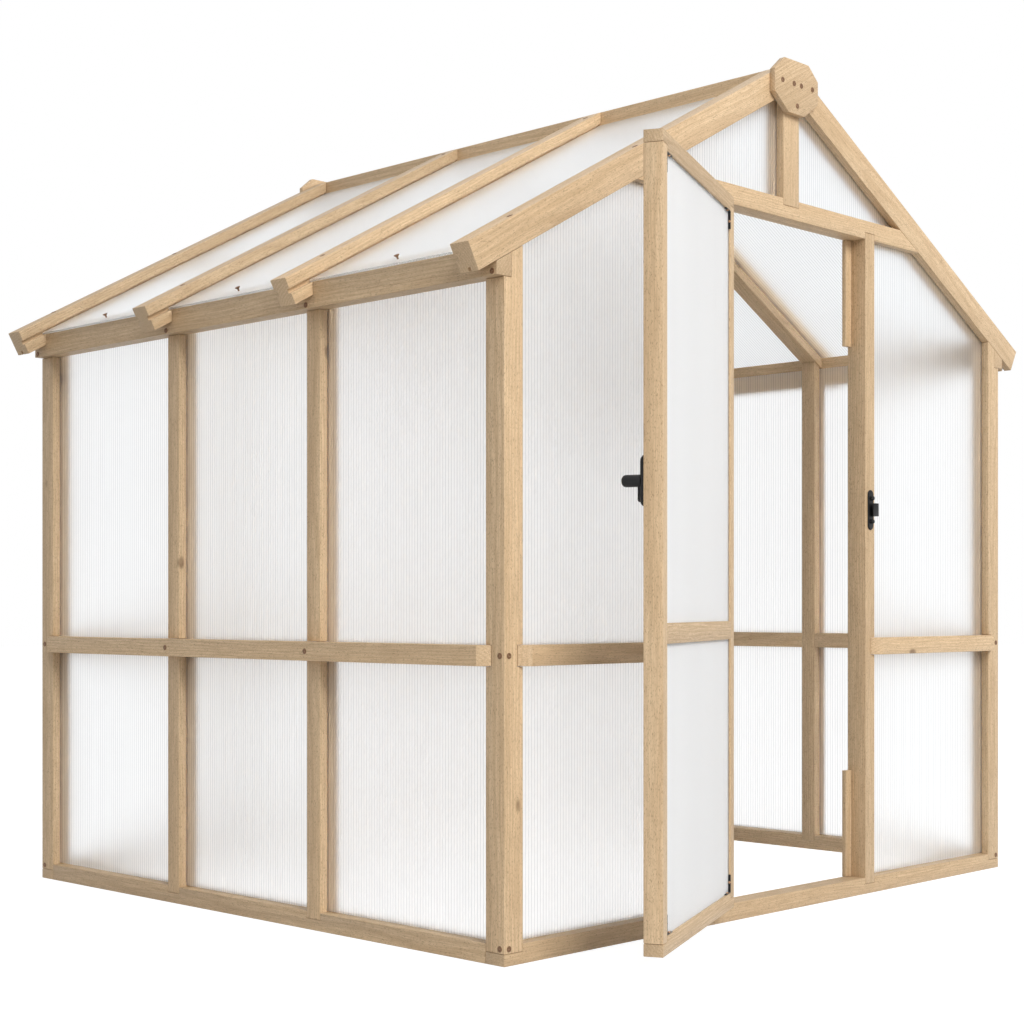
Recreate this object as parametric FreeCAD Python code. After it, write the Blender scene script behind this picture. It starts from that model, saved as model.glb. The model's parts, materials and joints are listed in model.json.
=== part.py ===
import FreeCAD, Part
import math
import os

# A wooden greenhouse with twin-wall glazing and an outward opening door.
# Origin: middle of the front sill's underside. +X runs along the front gable to the latch side,
# +Y runs into the greenhouse, +Z is up. Sizes are in millimetres and degrees.

# Overall frame
WIDTH = 2160.0              # over the outer faces of the side walls
DEPTH = 1930.0              # over the outer faces of the gables
POST = 60.0                 # square section of posts; depth of every upright; width of rafters
SILL_HEIGHT = 46.0
HOUSING = 18.0              # depth of the housings that take the ends of uprights
STUD_WIDTH = 52.0
STUD_SPACING = 595.0        # between the centre lines of the two studs of a side wall

# Gables and doorway
DOORWAY = 700.0             # clear width between the jambs
JAMB_WIDTH = 46.0
TIE_RISE = 292.0            # from the undersides of the eave beams to those of the tie beams
TIE_HEIGHT = 52.0
KING_WIDTH = 70.0

# Mid rails
RAIL_UNDERSIDE = 668.0
RAIL_HEIGHT = 48.0
PROUD = 24.0                # how far rails and eave beams stand out of the posts
RAIL_LAP = 18.0             # length of a rail's end that lies in a post or a jamb

# Roof
PITCH = 28.65
RAFTER_DEPTH = 70.0
EAVE_OVERHANG = 112.0       # rafter tails beyond the side walls
EAVE_UNDERSIDE = 1537.0
EAVE_FACE = 64.6            # height of an eave beam's outer face
RIDGE_WIDTH = 88.0          # of the ridge beam, which lies flush with the rafters' tops
RIDGE_HEIGHT = 76.0
PLATE_THICKNESS = 18.0
PLATE_TOP_HALF = 54.0
PLATE_SIDE_HALF = 97.0
PLATE_FOOT_HALF = 36.0
PLATE_TOP_DROP = 5.0        # corners of the ridge plates, below the apex of the slopes
PLATE_SHOULDER_DROP = 42.0
PLATE_HIP_DROP = 102.0
PLATE_FOOT_DROP = 147.0

# Glazing
PANEL = 6.0                 # thickness of a twin-wall sheet
PANEL_PLAY = 0.5            # on each face of a sheet in its groove
GROOVE_DEPTH = 10.0
GROOVE_SPARE = 2.0          # from the edge of a sheet to the bottom of its groove
RECESS = 24.0               # from a timber's outer face to its groove
ROOF_GROOVE_DROP = 30.0     # from a rafter's top to its groove, square to the slope
ROOF_PLAY = 3.5             # over a roof sheet, which lies on the bottom of its groove
DRIP = 8.0                  # roof sheets beyond the eave beam

# Door
DOOR_THICKNESS = 45.0
HINGE_GAP = 4.0
LATCH_GAP = 4.0
DOOR_FLOOR_GAP = 5.0
DOOR_HEAD_GAP = 4.0
DOOR_RECESS = 7.0           # from the door's inner face to the groove for its sheets
STILE_WIDTH = 36.0
DOOR_RAIL_HEIGHT = 42.0
DOOR_HOUSING = 14.0         # stiles let into the top and bottom rails
DOOR_MID_UNDERSIDE = 721.0
DOOR_MID_HEIGHT = 46.0
DOOR_OPEN = 155.0           # how far the door stands open at rest
STOP_WIDTH = 29.0
STOP_THICKNESS = 14.0
STOP_LENGTH = 298.0
STOP_PLAY = 0.4             # between the closed door and its stops

# Hinges
HINGE_HEIGHT = 76.0
HINGE_INSET = 190.0         # from the door's ends to the middles of the outer hinges
LEAF_WIDTH = 30.0
LEAF_PLAY = 0.4             # between the two leaves of a closed hinge
KNUCKLE_RADIUS = 5.0
KNUCKLE_PLAY = 0.4          # between knuckles
PIN_OUT = 10.0              # from the front of the frame to the middles of the hinge pins
KNUCKLE_LOW = 0.3           # shares of a hinge's height at which its knuckles part
KNUCKLE_HIGH = 0.7
PIN_RADIUS = 2.5
PIN_PLAY = 0.05

# Corner braces
BRACE_LEG = 45.0
BRACE_WIDTH = 6.0
BRACE_THICKNESS = 2.5

# Turn latch and keeper
LATCH_HEIGHT = 1073.0       # of the knob's axis above the ground
LATCH_PLATE_WIDTH = 30.0
LATCH_PLATE_LENGTH = 110.0
LATCH_PLATE_THICKNESS = 8.5
LATCH_PLATE_BEVEL = 4.0
SPINDLE_RADIUS = 5.0
SPINDLE_PLAY = 0.05
TURN_PLAY = 0.3             # under the spindle and under the tongue
TONGUE_LENGTH = 46.0
TONGUE_WIDTH = 14.0
TONGUE_THICKNESS = 7.0
TONGUE_BEVEL = 2.0
KNOB_RADIUS = 13.4
KNOB_LENGTH = 43.5
KNOB_ROUNDING = 10.0
KEEPER_WIDTH = 26.0
KEEPER_LENGTH = 112.0
KEEPER_THICKNESS = 4.0
KEEPER_BEVEL = 2.0
KEEPER_LIP_HEIGHT = 36.0
KEEPER_LIP_THICKNESS = 3.5
KEEPER_POST_WIDTH = 7.0
KEEPER_ROOM = 1.0           # between the tongue and the keeper's lip

# Places worked out from the sizes above
HALF = WIDTH / 2
FRONT = -POST / 2
BACK = FRONT + DEPTH
MIDDLE = (FRONT + BACK) / 2
SLOPE = math.tan(math.radians(PITCH))
COSINE = math.cos(math.radians(PITCH))
SINE = math.sin(math.radians(PITCH))
FOOT = SILL_HEIGHT - HOUSING
GROOVE = PANEL + 2 * PANEL_PLAY
ROOF_GROOVE_FOOT = ROOF_GROOVE_DROP + ROOF_PLAY + PANEL + PANEL_PLAY
BITE = GROOVE_DEPTH - GROOVE_SPARE
APEX = EAVE_UNDERSIDE + EAVE_FACE + (HALF + PROUD) * SLOPE + ROOF_GROOVE_FOOT / COSINE
RIDGE_TOP = APEX - RIDGE_WIDTH / 2 * SLOPE
TIE_UNDERSIDE = EAVE_UNDERSIDE + TIE_RISE
TIE_TOP = TIE_UNDERSIDE + TIE_HEIGHT
RAIL_TOP = RAIL_UNDERSIDE + RAIL_HEIGHT
TAIL = HALF + EAVE_OVERHANG
JAMB_OUTER = DOORWAY / 2 + JAMB_WIDTH
STUD_LINES = (MIDDLE - STUD_SPACING / 2, MIDDLE + STUD_SPACING / 2)
RAFTER_LINES = (FRONT + POST / 2, *STUD_LINES, BACK - POST / 2)
HINGE_LEAF = (HINGE_GAP - LEAF_PLAY) / 2
PIN_X = -DOORWAY / 2 + HINGE_GAP / 2
PIN_Y = FRONT - PIN_OUT
DOOR_LEFT = -DOORWAY / 2 + HINGE_GAP
DOOR_RIGHT = DOORWAY / 2 - LATCH_GAP
DOOR_BOTTOM = SILL_HEIGHT + DOOR_FLOOR_GAP
DOOR_TOP = TIE_UNDERSIDE - DOOR_HEAD_GAP
LATCH_X = DOOR_RIGHT - STILE_WIDTH / 2
KEEPER_X = DOORWAY / 2 + JAMB_WIDTH / 2

X_AXIS = FreeCAD.Vector(1, 0, 0)
Y_AXIS = FreeCAD.Vector(0, 1, 0)
Z_AXIS = FreeCAD.Vector(0, 0, 1)


def box(x0, x1, y0, y1, z0, z1):
    """A box between two corners."""
    return Part.makeBox(x1 - x0, y1 - y0, z1 - z0, FreeCAD.Vector(x0, y0, z0))


def prism_xz(points, y0, y1):
    """An outline in the XZ plane carried along Y."""
    corners = [FreeCAD.Vector(x, y0, z) for x, z in points]
    face = Part.Face(Part.makePolygon([*corners, corners[0]]))
    return face.extrude(Y_AXIS * (y1 - y0))


def prism_xy(points, z0, z1):
    """An outline in the XY plane carried up Z."""
    corners = [FreeCAD.Vector(x, y, z0) for x, y in points]
    face = Part.Face(Part.makePolygon([*corners, corners[0]]))
    return face.extrude(Z_AXIS * (z1 - z0))


def other_side(shape):
    """The same piece on the right of the greenhouse."""
    return shape.mirror(FreeCAD.Vector(0, 0, 0), X_AXIS)


def other_end(shape):
    """The same piece at the rear of the greenhouse."""
    return shape.mirror(FreeCAD.Vector(0, MIDDLE, 0), Y_AXIS)


def slope_z(x, drop):
    """Height of the line that lies a given distance below the rafters' tops, square to the slope."""
    return APEX - abs(x) * SLOPE - drop / COSINE


def slope_x(z, drop):
    """Distance from the middle at which that line reaches a height."""
    return (APEX - drop / COSINE - z) / SLOPE


def slope_band(drop0, drop1, x0, x1, y0, y1):
    """A left-hand slab that follows the slope between two drops, cut plumb at both ends."""
    outline = [(x0, slope_z(x0, drop0)), (x1, slope_z(x1, drop0)),
               (x1, slope_z(x1, drop1)), (x0, slope_z(x0, drop1))]
    return prism_xz(outline, y0, y1)


def above_rafters(y0, y1):
    """All the space over the undersides of the rafters, for the sloping ends of what meets them."""
    high = APEX + RAFTER_DEPTH
    outline = [(-TAIL, slope_z(TAIL, RAFTER_DEPTH)), (0, slope_z(0, RAFTER_DEPTH)),
               (TAIL, slope_z(TAIL, RAFTER_DEPTH)), (TAIL, high), (-TAIL, high)]
    return prism_xz(outline, y0, y1)


def ridge_board(clearance=0.0):
    """The beam along the ridge, which the rafters butt against or, with a clearance, what is kept free."""
    half = RIDGE_WIDTH / 2 + clearance
    return box(-half, half, FRONT, BACK, RIDGE_TOP - RIDGE_HEIGHT - clearance, RIDGE_TOP)


# Sills

def gable_sill():
    """A sill along a gable, housed on top for two posts and two inner uprights."""
    sill = box(-HALF, HALF, FRONT, FRONT + POST, 0, SILL_HEIGHT)
    for x0, x1 in ((-HALF, -HALF + POST), (-JAMB_OUTER, -DOORWAY / 2)):
        housing = box(x0, x1, FRONT, FRONT + POST, FOOT, SILL_HEIGHT)
        sill = sill.cut(housing).cut(other_side(housing))
    return sill


def side_sill():
    """A sill along the left wall, housed for its two studs and butted to the gable sills."""
    sill = box(-HALF, -HALF + POST, FRONT + POST, BACK - POST, 0, SILL_HEIGHT)
    for line in STUD_LINES:
        y0 = line - STUD_WIDTH / 2
        sill = sill.cut(box(-HALF, -HALF + POST, y0, y0 + STUD_WIDTH, FOOT, SILL_HEIGHT))
    return sill


# Uprights

def side_upright(y0, y1):
    """An upright of the left wall: sloped under the rafter and cut back outside for the eave beam."""
    upright = box(-HALF, -HALF + POST, y0, y1, FOOT, APEX)
    upright = upright.cut(above_rafters(y0, y1))
    return upright.cut(box(-HALF, -HALF + RECESS, y0, y1, EAVE_UNDERSIDE, APEX))


def side_groove(y0, y1):
    """The groove that a sheet of the left wall stands in, between two places along the wall."""
    return box(-HALF + RECESS, -HALF + RECESS + GROOVE, y0, y1, SILL_HEIGHT, APEX)


def gable_groove(x0, x1, z0, z1):
    """The groove that a sheet of the front gable stands in."""
    return box(x0, x1, FRONT + RECESS, FRONT + RECESS + GROOVE, z0, z1)


def corner_post():
    """The front left post, grooved for both walls and notched for the ends of both mid rails."""
    inner_y = FRONT + POST
    inner_x = -HALF + POST
    post = side_upright(FRONT, inner_y)
    post = post.cut(side_groove(inner_y - GROOVE_DEPTH, inner_y))
    post = post.cut(gable_groove(inner_x - GROOVE_DEPTH, inner_x, SILL_HEIGHT, APEX))
    post = post.cut(box(-HALF, -HALF + RECESS, inner_y - RAIL_LAP, inner_y, RAIL_UNDERSIDE, RAIL_TOP))
    return post.cut(box(inner_x - RAIL_LAP, inner_x, FRONT, FRONT + RECESS, RAIL_UNDERSIDE, RAIL_TOP))


def side_stud(line):
    """A stud of the left wall, grooved on both edges and notched across for the mid rail."""
    y0 = line - STUD_WIDTH / 2
    y1 = line + STUD_WIDTH / 2
    stud = side_upright(y0, y1)
    stud = stud.cut(side_groove(y0, y0 + GROOVE_DEPTH)).cut(side_groove(y1 - GROOVE_DEPTH, y1))
    return stud.cut(box(-HALF, -HALF + RECESS, y0, y1, RAIL_UNDERSIDE, RAIL_TOP))


def gable_upright(grooved_edges, rail_notch):
    """The left inner upright of the front gable, from its housing in the sill to the one in the tie beam."""
    upright = box(-JAMB_OUTER, -DOORWAY / 2, FRONT, FRONT + POST, FOOT, TIE_UNDERSIDE + HOUSING)
    edges = {"outer": (-JAMB_OUTER, -JAMB_OUTER + GROOVE_DEPTH),
             "inner": (-DOORWAY / 2 - GROOVE_DEPTH, -DOORWAY / 2)}
    for edge in grooved_edges:
        upright = upright.cut(gable_groove(*edges[edge], SILL_HEIGHT, TIE_UNDERSIDE + GROOVE_DEPTH))
    return upright.cut(box(-JAMB_OUTER, -JAMB_OUTER + rail_notch, FRONT, FRONT + RECESS,
                           RAIL_UNDERSIDE, RAIL_TOP))


def king_post():
    """The upright between the tie beam and the apex, fitted under the rafters and the ridge beam."""
    post = box(-KING_WIDTH / 2, KING_WIDTH / 2, FRONT, FRONT + POST, TIE_TOP - HOUSING, APEX)
    post = post.cut(above_rafters(FRONT, FRONT + POST)).cut(ridge_board())
    groove = gable_groove(-KING_WIDTH / 2, -KING_WIDTH / 2 + GROOVE_DEPTH, TIE_TOP - GROOVE_DEPTH, APEX)
    return post.cut(groove).cut(other_side(groove))


# Horizontal timbers

def tie_beam(sheet_over_doorway):
    """A beam between the rafters, housed for the uprights below it and the king post above it."""
    reach = slope_x(TIE_UNDERSIDE, RAFTER_DEPTH)
    beam = box(-reach, reach, FRONT, FRONT + POST, TIE_UNDERSIDE, TIE_TOP)
    beam = beam.cut(above_rafters(FRONT, FRONT + POST))
    beam = beam.cut(box(-KING_WIDTH / 2, KING_WIDTH / 2, FRONT, FRONT + POST, TIE_TOP - HOUSING, TIE_TOP))
    beam = beam.cut(gable_groove(-reach, reach, TIE_TOP - GROOVE_DEPTH, TIE_TOP))
    sheet_edge = 0 if sheet_over_doorway else -JAMB_OUTER
    cuts = [box(-JAMB_OUTER, -DOORWAY / 2, FRONT, FRONT + POST, TIE_UNDERSIDE, TIE_UNDERSIDE + HOUSING),
            gable_groove(-reach, sheet_edge, TIE_UNDERSIDE, TIE_UNDERSIDE + GROOVE_DEPTH)]
    for cut in cuts:
        beam = beam.cut(cut).cut(other_side(cut))
    return beam


def eave_beam():
    """The left eave beam: its top lies along the roof sheets and its ends duck under the gable rafters."""
    inner = -HALF + RECESS
    outer = -HALF - PROUD
    outline = [(outer, EAVE_UNDERSIDE), (inner, EAVE_UNDERSIDE),
               (inner, slope_z(inner, ROOF_GROOVE_FOOT)), (outer, slope_z(outer, ROOF_GROOVE_FOOT))]
    beam = prism_xz(outline, FRONT, BACK)
    return beam.cut(above_rafters(FRONT, FRONT + POST)).cut(above_rafters(BACK - POST, BACK))


def rail_outline(start, end):
    """Plan of a mid rail: (along the wall, out of the wall), with its proud ends cut at 45 degrees."""
    return [(start, -RECESS), (start, 0), (start + PROUD, PROUD),
            (end - PROUD, PROUD), (end, 0), (end, -RECESS)]


def side_mid_rail():
    plan = rail_outline(FRONT + POST - RAIL_LAP, BACK - POST + RAIL_LAP)
    return prism_xy([(-HALF - out, along) for along, out in plan], RAIL_UNDERSIDE, RAIL_TOP)


def gable_mid_rail(start, end):
    plan = rail_outline(start, end)
    return prism_xy([(along, FRONT - out) for along, out in plan], RAIL_UNDERSIDE, RAIL_TOP)


def side_bays():
    """The spaces between the uprights of a side wall, as (near, far) places along it."""
    near = [FRONT + POST, *[line + STUD_WIDTH / 2 for line in STUD_LINES]]
    far = [*[line - STUD_WIDTH / 2 for line in STUD_LINES], BACK - POST]
    return list(zip(near, far))


def inner_noggings():
    """Short timbers between the uprights, behind the sheets and level with the mid rails."""
    wall = RECESS + GROOVE
    side = [box(-HALF + wall, -HALF + POST, y0, y1, RAIL_UNDERSIDE, RAIL_TOP) for y0, y1 in side_bays()]
    outer_bay = box(-HALF + POST, -JAMB_OUTER, FRONT + wall, FRONT + POST, RAIL_UNDERSIDE, RAIL_TOP)
    middle_bay = box(-DOORWAY / 2, DOORWAY / 2, FRONT + wall, FRONT + POST, RAIL_UNDERSIDE, RAIL_TOP)
    front = [outer_bay, other_side(outer_bay)]
    rear = [other_end(piece) for piece in [*front, middle_bay]]
    return [*side, *[other_side(piece) for piece in side], *front, *rear]


# Roof timbers

def rafter(line, grooved_sides, gable):
    """A left-hand rafter: plumb at the ridge, square at the tail, grooved for the roof sheets."""
    y0 = line - POST / 2
    y1 = line + POST / 2
    ridge = -RIDGE_WIDTH / 2
    tail_z = slope_z(TAIL, 0)
    tail_corner = (-TAIL + RAFTER_DEPTH * SINE, tail_z - RAFTER_DEPTH * COSINE)
    outline = [(ridge, slope_z(ridge, 0)), (-TAIL, tail_z), tail_corner,
               (ridge, slope_z(ridge, RAFTER_DEPTH))]
    timber = prism_xz(outline, y0, y1)
    sides = {"front": (y0, y0 + GROOVE_DEPTH), "rear": (y1 - GROOVE_DEPTH, y1)}
    for side in grooved_sides:
        groove = slope_band(ROOF_GROOVE_DROP, ROOF_GROOVE_FOOT, -TAIL - POST, ridge, *sides[side])
        timber = timber.cut(groove)
    if gable:
        slot_y = (FRONT + RECESS, FRONT + RECESS + GROOVE)
        timber = timber.cut(slope_band(RAFTER_DEPTH - GROOVE_DEPTH, RAFTER_DEPTH, -TAIL, ridge, *slot_y))
    else:
        timber = timber.cut(eave_beam())
    return timber


def ridge_plate():
    """The eight-sided plate that joins the gable rafters and hides the ridge beam's end."""
    right = [(PLATE_TOP_HALF, APEX - PLATE_TOP_DROP), (PLATE_SIDE_HALF, APEX - PLATE_SHOULDER_DROP),
             (PLATE_SIDE_HALF, APEX - PLATE_HIP_DROP), (PLATE_FOOT_HALF, APEX - PLATE_FOOT_DROP)]
    left = [(-x, z) for x, z in reversed(right)]
    return prism_xz([*right, *left], FRONT - PLATE_THICKNESS, FRONT)


# Glazing

def side_sheets():
    x0 = -HALF + RECESS + PANEL_PLAY
    top = slope_z(HALF - RECESS, RAFTER_DEPTH) - GROOVE_SPARE
    return [box(x0, x0 + PANEL, near - BITE, far + BITE, SILL_HEIGHT, top) for near, far in side_bays()]


def gable_sheet(outline):
    y0 = FRONT + RECESS + PANEL_PLAY
    return prism_xz(outline, y0, y0 + PANEL)


def gable_sheets(sheet_over_doorway):
    """Sheets of the front gable: one each side of the doorway and one each side of the king post."""
    drop = RAFTER_DEPTH - BITE
    left = -HALF + POST - BITE
    right = -JAMB_OUTER + BITE
    head = TIE_UNDERSIDE + BITE
    wall = gable_sheet([(left, SILL_HEIGHT), (right, SILL_HEIGHT), (right, head),
                        (-slope_x(head, drop), head), (left, slope_z(left, drop))])
    base = TIE_TOP - BITE
    king = -KING_WIDTH / 2 + BITE
    peak = gable_sheet([(-slope_x(base, drop), base), (king, base), (king, slope_z(king, drop))])
    peak = peak.cut(ridge_board(GROOVE_SPARE))
    sheets = [wall, other_side(wall), peak, other_side(peak)]
    if sheet_over_doorway:
        half = DOORWAY / 2 + BITE
        sheets.append(gable_sheet([(-half, SILL_HEIGHT), (half, SILL_HEIGHT), (half, head), (-half, head)]))
    return sheets


def roof_sheets():
    """Three sheets on the left slope, from the ridge beam to just beyond the eave beam."""
    drop = ROOF_GROOVE_DROP + ROOF_PLAY
    eave = -HALF - PROUD - DRIP
    ridge = -RIDGE_WIDTH / 2 - PANEL_PLAY
    gaps = [(line + POST / 2 - BITE, beyond - POST / 2 + BITE)
            for line, beyond in zip(RAFTER_LINES, RAFTER_LINES[1:])]
    return [slope_band(drop, drop + PANEL, eave, ridge, y0, y1) for y0, y1 in gaps]


# Door, modelled closed

def door_groove(x0, x1, z0, z1, clearance=0.0):
    """The groove for the door's sheets, near its inner face or, with a clearance, what fits there."""
    inner = FRONT + DOOR_THICKNESS - DOOR_RECESS
    return box(x0, x1, inner - GROOVE + clearance, inner - clearance, z0, z1)


def door_timber(x0, x1, z0, z1):
    return box(x0, x1, FRONT, FRONT + DOOR_THICKNESS, z0, z1)


def door_stile(left):
    """A stile, let into both rails at its ends and grooved along its inner edge."""
    let_in = DOOR_RAIL_HEIGHT - DOOR_HOUSING
    stile = door_timber(left, left + STILE_WIDTH, DOOR_BOTTOM + let_in, DOOR_TOP - let_in)
    inner = left + STILE_WIDTH - GROOVE_DEPTH if left == DOOR_LEFT else left
    return stile.cut(door_groove(inner, inner + GROOVE_DEPTH, DOOR_BOTTOM, DOOR_TOP))


def door_end_rail(bottom, inner_edge, housing_bottom):
    """The top or the bottom rail, as wide as the door, housed for both stiles and grooved between them."""
    rail = door_timber(DOOR_LEFT, DOOR_RIGHT, bottom, bottom + DOOR_RAIL_HEIGHT)
    for left in (DOOR_LEFT, DOOR_RIGHT - STILE_WIDTH):
        rail = rail.cut(door_timber(left, left + STILE_WIDTH, housing_bottom, housing_bottom + DOOR_HOUSING))
    return rail.cut(door_groove(DOOR_LEFT + STILE_WIDTH, DOOR_RIGHT - STILE_WIDTH, inner_edge,
                                inner_edge + GROOVE_DEPTH))


def door_top_rail():
    bottom = DOOR_TOP - DOOR_RAIL_HEIGHT
    return door_end_rail(bottom, bottom, bottom)


def door_bottom_rail():
    top = DOOR_BOTTOM + DOOR_RAIL_HEIGHT
    return door_end_rail(DOOR_BOTTOM, top - GROOVE_DEPTH, top - DOOR_HOUSING)


def door_mid_rail():
    """The middle rail: stub tenons in the grooves of the stiles, and a groove along both edges."""
    x0 = DOOR_LEFT + STILE_WIDTH
    x1 = DOOR_RIGHT - STILE_WIDTH
    top = DOOR_MID_UNDERSIDE + DOOR_MID_HEIGHT
    rail = door_timber(x0, x1, DOOR_MID_UNDERSIDE, top)
    for edge in (DOOR_MID_UNDERSIDE, top - GROOVE_DEPTH):
        rail = rail.cut(door_groove(x0, x1, edge, edge + GROOVE_DEPTH))
    tenon = door_groove(x0 - BITE, x1 + BITE, DOOR_MID_UNDERSIDE + GROOVE_DEPTH, top - GROOVE_DEPTH,
                        PANEL_PLAY)
    return rail.fuse(tenon).removeSplitter()


def door_sheets():
    x0 = DOOR_LEFT + STILE_WIDTH - BITE
    x1 = DOOR_RIGHT - STILE_WIDTH + BITE
    lower = (DOOR_BOTTOM + DOOR_RAIL_HEIGHT - BITE, DOOR_MID_UNDERSIDE + BITE)
    upper = (DOOR_MID_UNDERSIDE + DOOR_MID_HEIGHT - BITE, DOOR_TOP - DOOR_RAIL_HEIGHT + BITE)
    return [door_groove(x0, x1, z0, z1, PANEL_PLAY) for z0, z1 in (lower, upper)]


def corner_braces():
    """Bent strips in the inner corners of the door's frame, on the inner side of its sheets."""
    y0 = FRONT + DOOR_THICKNESS - (DOOR_RECESS + BRACE_WIDTH) / 2
    left = DOOR_LEFT + STILE_WIDTH
    right = DOOR_RIGHT - STILE_WIDTH
    steps = [(0, 0), (BRACE_LEG, 0), (BRACE_LEG, BRACE_THICKNESS), (BRACE_THICKNESS, BRACE_THICKNESS),
             (BRACE_THICKNESS, BRACE_LEG), (0, BRACE_LEG)]
    braces = []
    for x, across in ((left, 1), (right, -1)):
        for z, upward in ((DOOR_BOTTOM + DOOR_RAIL_HEIGHT, 1), (DOOR_TOP - DOOR_RAIL_HEIGHT, -1)):
            outline = [(x + across * along, z + upward * up) for along, up in steps]
            braces.append(prism_xz(outline, y0, y0 + BRACE_WIDTH))
    return braces


def door_stops():
    """Two battens on the latch jamb that the closed door meets."""
    y0 = FRONT + DOOR_THICKNESS + STOP_PLAY
    spans = ((SILL_HEIGHT, SILL_HEIGHT + STOP_LENGTH), (TIE_UNDERSIDE - STOP_LENGTH, TIE_UNDERSIDE))
    return [box(DOORWAY / 2 - STOP_WIDTH, DOORWAY / 2, y0, y0 + STOP_THICKNESS, z0, z1) for z0, z1 in spans]


# Butt hinges

def hinge_bottoms():
    middles = (DOOR_BOTTOM + HINGE_INSET, (DOOR_BOTTOM + DOOR_TOP) / 2, DOOR_TOP - HINGE_INSET)
    return [middle - HINGE_HEIGHT / 2 for middle in middles]


def pin_cylinder(radius, z0, z1):
    return Part.makeCylinder(radius, z1 - z0, FreeCAD.Vector(PIN_X, PIN_Y, z0))


def hinge_leaf(bottom, x0, x1, knuckles):
    """A leaf beside the door's edge with its knuckles, as (low, high) shares of the hinge's height."""
    leaf = box(x0, x1, FRONT, FRONT + LEAF_WIDTH, bottom, bottom + HINGE_HEIGHT)
    for low, high in knuckles:
        z0 = bottom + low * HINGE_HEIGHT + (KNUCKLE_PLAY if low > 0 else 0)
        z1 = bottom + high * HINGE_HEIGHT
        leaf = leaf.fuse(box(x0, x1, PIN_Y, FRONT, z0, z1)).fuse(pin_cylinder(KNUCKLE_RADIUS, z0, z1))
    leaf = leaf.cut(pin_cylinder(PIN_RADIUS + PIN_PLAY, bottom, bottom + HINGE_HEIGHT))
    return leaf.removeSplitter()


def hinge_frame_leaves():
    x0 = -DOORWAY / 2
    knuckles = ((0, KNUCKLE_LOW), (KNUCKLE_HIGH, 1))
    return [hinge_leaf(bottom, x0, x0 + HINGE_LEAF, knuckles) for bottom in hinge_bottoms()]


def hinge_door_leaves():
    x1 = DOOR_LEFT
    knuckles = ((KNUCKLE_LOW, KNUCKLE_HIGH),)
    return [hinge_leaf(bottom, x1 - HINGE_LEAF, x1, knuckles) for bottom in hinge_bottoms()]


def hinge_pins():
    return [pin_cylinder(PIN_RADIUS, bottom, bottom + HINGE_HEIGHT) for bottom in hinge_bottoms()]


# Turn latch, modelled on the closed door; depths count from the door's outer face

def slot_plate(x, z, width, length, depth0, depth1, bevel):
    """A long plate with half-round ends, standing on end, between two depths; its outer edge is bevelled."""
    radius = width / 2
    reach = length / 2 - radius
    y0 = FRONT - depth0
    left_low = FreeCAD.Vector(x - radius, y0, z - reach)
    right_low = FreeCAD.Vector(x + radius, y0, z - reach)
    right_high = FreeCAD.Vector(x + radius, y0, z + reach)
    left_high = FreeCAD.Vector(x - radius, y0, z + reach)
    foot = FreeCAD.Vector(x, y0, z - length / 2)
    head = FreeCAD.Vector(x, y0, z + length / 2)
    edges = [Part.Arc(left_low, foot, right_low).toShape(), Part.makeLine(right_low, right_high),
             Part.Arc(right_high, head, left_high).toShape(), Part.makeLine(left_high, left_low)]
    plate = Part.Face(Part.Wire(edges)).extrude(Y_AXIS * (depth0 - depth1))
    outer_edges = min(plate.Faces, key=lambda face: face.CenterOfMass.y).Edges
    return plate.makeChamfer(bevel, outer_edges)


def latch_cylinder(radius, depth0, depth1):
    return Part.makeCylinder(radius, depth1 - depth0, FreeCAD.Vector(LATCH_X, FRONT - depth0, LATCH_HEIGHT),
                             FreeCAD.Vector(0, -1, 0))


def latch_plate():
    """The base plate with its bevelled edge, bored for the spindle."""
    plate = slot_plate(LATCH_X, LATCH_HEIGHT, LATCH_PLATE_WIDTH, LATCH_PLATE_LENGTH,
                       0, LATCH_PLATE_THICKNESS, LATCH_PLATE_BEVEL)
    return plate.cut(latch_cylinder(SPINDLE_RADIUS + SPINDLE_PLAY, 0, LATCH_PLATE_THICKNESS))


def tongue_depths():
    near = LATCH_PLATE_THICKNESS + TURN_PLAY
    return near, near + TONGUE_THICKNESS


def latch_knob():
    """Spindle, tongue and round-ended grip in one piece, with the tongue hanging down."""
    near, far = tongue_depths()
    tongue_top = LATCH_HEIGHT + TONGUE_WIDTH / 2
    tongue_z = (tongue_top + LATCH_HEIGHT - TONGUE_LENGTH) / 2
    tongue_size = tongue_top - LATCH_HEIGHT + TONGUE_LENGTH
    knob = slot_plate(LATCH_X, tongue_z, TONGUE_WIDTH, tongue_size, near, far, TONGUE_BEVEL)
    knob = knob.fuse(latch_cylinder(SPINDLE_RADIUS, TURN_PLAY, near))
    return knob.fuse(knob_grip(near)).removeSplitter()


def knob_grip(start):
    """The grip: a rod about the latch axis, its free end rounded."""
    end = start + KNOB_LENGTH

    def point(radius, depth):
        return FreeCAD.Vector(LATCH_X + radius, FRONT - depth, LATCH_HEIGHT)

    turn = KNOB_ROUNDING * (1 - math.sqrt(0.5))
    edges = [Part.makeLine(point(0, start), point(KNOB_RADIUS, start)),
             Part.makeLine(point(KNOB_RADIUS, start), point(KNOB_RADIUS, end - KNOB_ROUNDING)),
             Part.Arc(point(KNOB_RADIUS, end - KNOB_ROUNDING), point(KNOB_RADIUS - turn, end - turn),
                      point(KNOB_RADIUS - KNOB_ROUNDING, end)).toShape(),
             Part.makeLine(point(KNOB_RADIUS - KNOB_ROUNDING, end), point(0, end)),
             Part.makeLine(point(0, end), point(0, start))]
    return Part.Face(Part.Wire(edges)).revolve(point(0, start), Y_AXIS, 360)


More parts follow.
